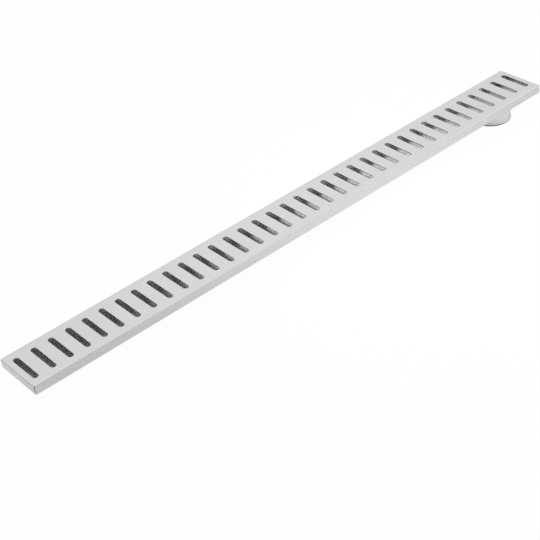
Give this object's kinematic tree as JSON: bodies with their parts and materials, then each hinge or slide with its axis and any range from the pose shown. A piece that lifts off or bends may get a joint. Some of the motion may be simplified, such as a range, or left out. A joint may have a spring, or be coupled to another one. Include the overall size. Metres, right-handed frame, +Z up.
{
  "type": "linear shower drain",
  "caption": "Long shallow floor drain: a slotted sheet-steel cover with folded skirts rests on a channel tray that empties through a round spigot near one end.",
  "frame": {"origin": "under the middle of the drain, level with the lower end of the spigot", "axes": "+X along the drain towards the outlet, +Y across it, +Z up"},
  "size_m": [0.9, 0.075, 0.0367],
  "materials": {
    "cover_steel": "satin, finely brushed along the length",
    "tray_steel": "bright cold-rolled sheet",
    "spigot_steel": "bright tube with a satin outside"
  },
  "bodies": {
    "root": {"slotted_cover": "cover_steel", "channel_tray": "tray_steel", "outlet_spigot": "spigot_steel"}
  },
  "joints": []
}
